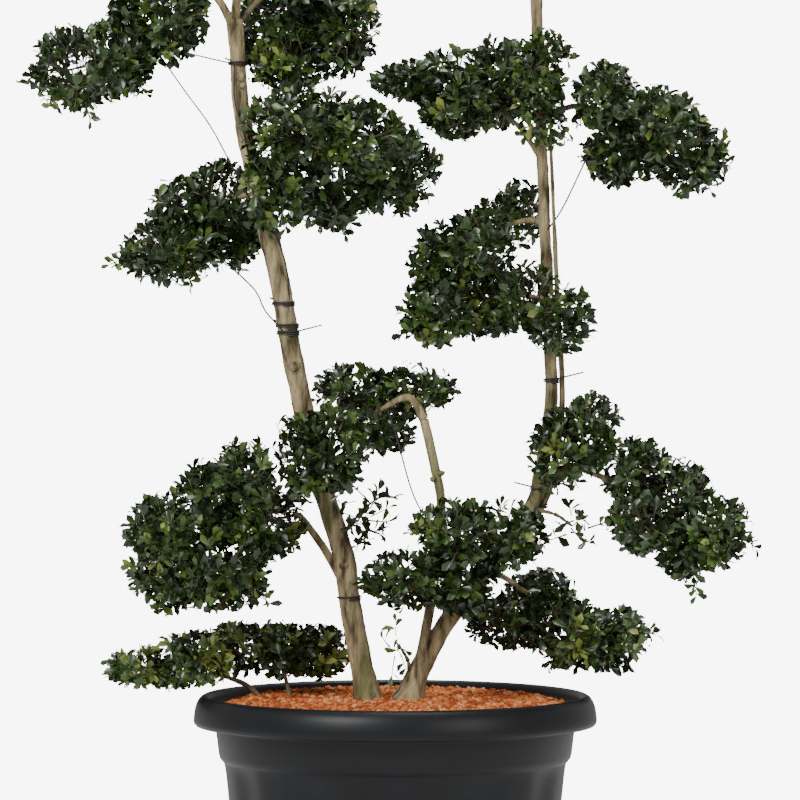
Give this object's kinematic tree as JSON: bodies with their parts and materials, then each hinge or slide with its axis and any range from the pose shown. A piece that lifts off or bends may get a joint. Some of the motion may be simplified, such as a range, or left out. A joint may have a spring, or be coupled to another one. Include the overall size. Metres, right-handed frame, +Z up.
{
  "type": "potted cloud-pruned holly",
  "caption": "Small-leaved evergreen trained as a cloud tree on two slender stems, standing in a round black nursery pot filled with clay granules.",
  "frame": {"origin": "middle of the pot's flat underside", "axes": "+Z up, front of the plant faces -Y, right-hand stem on +X"},
  "size_m": [0.9768, 0.56, 1.5826],
  "materials": {
    "pot_plastic": "satin black moulded plastic",
    "clay_granules": "rough terracotta granules",
    "bark": "pale beige-grey bark with lichen",
    "holly_leaf": "small glossy dark green leaves"
  },
  "bodies": {
    "root": {"arch_bough": "bark", "bough_crown_left": "bark", "bough_crown_left_upper": "bark", "bough_crown_right": "bark", "bough_foot_right": "bark", "bough_low_left": "bark", "bough_low_right": "bark", "bough_mid_left": "bark", "bough_mid_right": "bark", "bough_top_left": "bark", "bough_top_right": "bark", "bough_waist_left": "bark", "cloud_arch": "holly_leaf", "cloud_centre": "holly_leaf", "cloud_crown_front": "holly_leaf", "cloud_crown_left": "holly_leaf", "cloud_crown_right": "holly_leaf", "cloud_foot_left": "holly_leaf", "cloud_foot_middle": "holly_leaf", "cloud_foot_right": "holly_leaf", "cloud_low_left": "holly_leaf", "cloud_low_right": "holly_leaf", "cloud_low_right_inner": "holly_leaf", "cloud_mid_left": "holly_leaf", "cloud_mid_right": "holly_leaf", "cloud_peak": "holly_leaf", "cloud_side_spray": "holly_leaf", "cloud_top": "holly_leaf", "cloud_top_left": "holly_leaf", "cloud_top_right": "holly_leaf", "cloud_trunk": "holly_leaf", "cloud_waist_back": "holly_leaf", "cloud_waist_front": "holly_leaf", "cloud_waist_left": "holly_leaf", "cloud_waist_spray": "holly_leaf", "left_leader": "bark", "left_trunk": "bark", "low_shoot_left": "bark", "low_shoot_right": "bark", "middle_stem": "bark", "pot": "pot_plastic", "right_leader": "bark", "right_trunk": "bark", "side_stem": "bark", "soil": "clay_granules", "sucker_shoot": "holly_leaf"}
  },
  "joints": []
}
